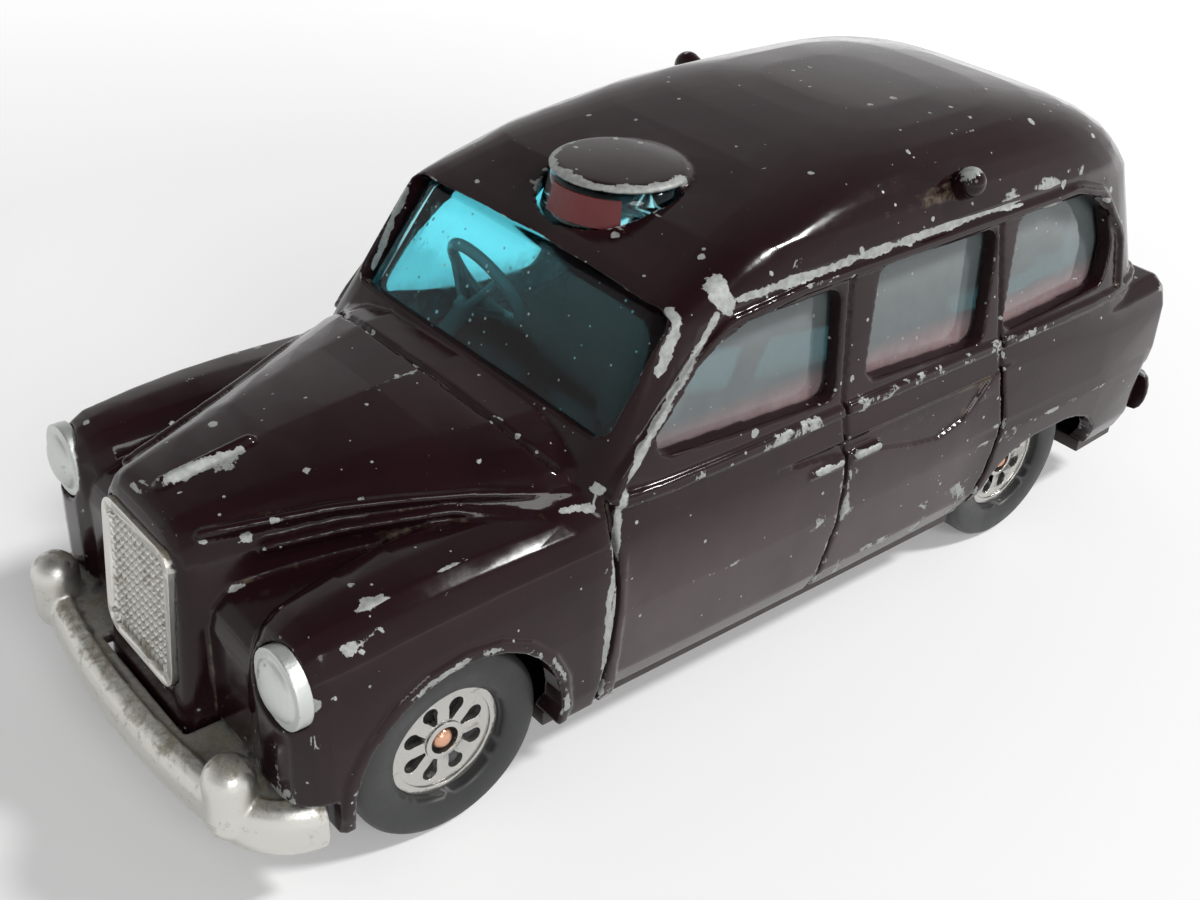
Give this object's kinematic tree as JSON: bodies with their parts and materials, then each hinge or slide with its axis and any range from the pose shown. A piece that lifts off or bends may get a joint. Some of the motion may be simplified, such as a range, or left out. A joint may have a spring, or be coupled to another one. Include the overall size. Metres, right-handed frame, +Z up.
{
  "type": "toy taxi",
  "caption": "Die-cast toy taxi with a tinted window moulding, red seats, roof sign, bumpers and free-running wheels on headed wire axles.",
  "frame": {"origin": "middle of the car's bounding box in plan, on the ground under the wheels", "axes": "+X to the car's left, +Y to its rear, +Z up"},
  "size_m": [0.0364, 0.097, 0.039],
  "materials": {
    "body_paint": "gloss, very dark maroon, chipped to grey metal",
    "tinted_window": "clear blue tinted plastic",
    "steer_plastic": "satin, pale",
    "label_red": "satin",
    "seat_red": "satin",
    "base_paint": "satin",
    "bare_metal": "dull cast metal",
    "bright_metal": "worn plating with brown dirt",
    "axle_wire": "copper coloured, satin",
    "wheel_plastic": "satin black",
    "plated_trim": "bright plating, dusty"
  },
  "bodies": {
    "car": {"body_shell": "body_paint", "glazing": "tinted_window", "sign_lens": "tinted_window", "sign_label": "label_red", "interior_tray": "seat_red", "steering_wheel": "steer_plastic", "base_plate": "base_paint", "rivets": "bare_metal", "front_bumper": "bright_metal", "rear_bumper": "body_paint", "grille": "bright_metal", "headlamp_left": "bright_metal", "headlamp_right": "bright_metal", "front_axle": "axle_wire", "rear_axle": "axle_wire"},
    "wheel_front_left": {"tyre_front_left": "wheel_plastic", "wheel_trim_front_left": "plated_trim"},
    "wheel_front_right": {"tyre_front_right": "wheel_plastic", "wheel_trim_front_right": "plated_trim"},
    "wheel_rear_left": {"tyre_rear_left": "wheel_plastic", "wheel_trim_rear_left": "plated_trim"},
    "wheel_rear_right": {"tyre_rear_right": "wheel_plastic", "wheel_trim_rear_right": "plated_trim"}
  },
  "joints": [
    {"name": "spin_front_left", "type": "hinge", "parent": "car", "child": "wheel_front_left", "pos_m": [0.0137, -0.0324, 0.0072], "axis": [1, 0, 0], "continuous": true},
    {"name": "spin_front_right", "type": "hinge", "parent": "car", "child": "wheel_front_right", "pos_m": [-0.0137, -0.0324, 0.0072], "axis": [1, 0, 0], "continuous": true},
    {"name": "spin_rear_left", "type": "hinge", "parent": "car", "child": "wheel_rear_left", "pos_m": [0.0137, 0.0276, 0.0072], "axis": [1, 0, 0], "continuous": true},
    {"name": "spin_rear_right", "type": "hinge", "parent": "car", "child": "wheel_rear_right", "pos_m": [-0.0137, 0.0276, 0.0072], "axis": [1, 0, 0], "continuous": true}
  ]
}
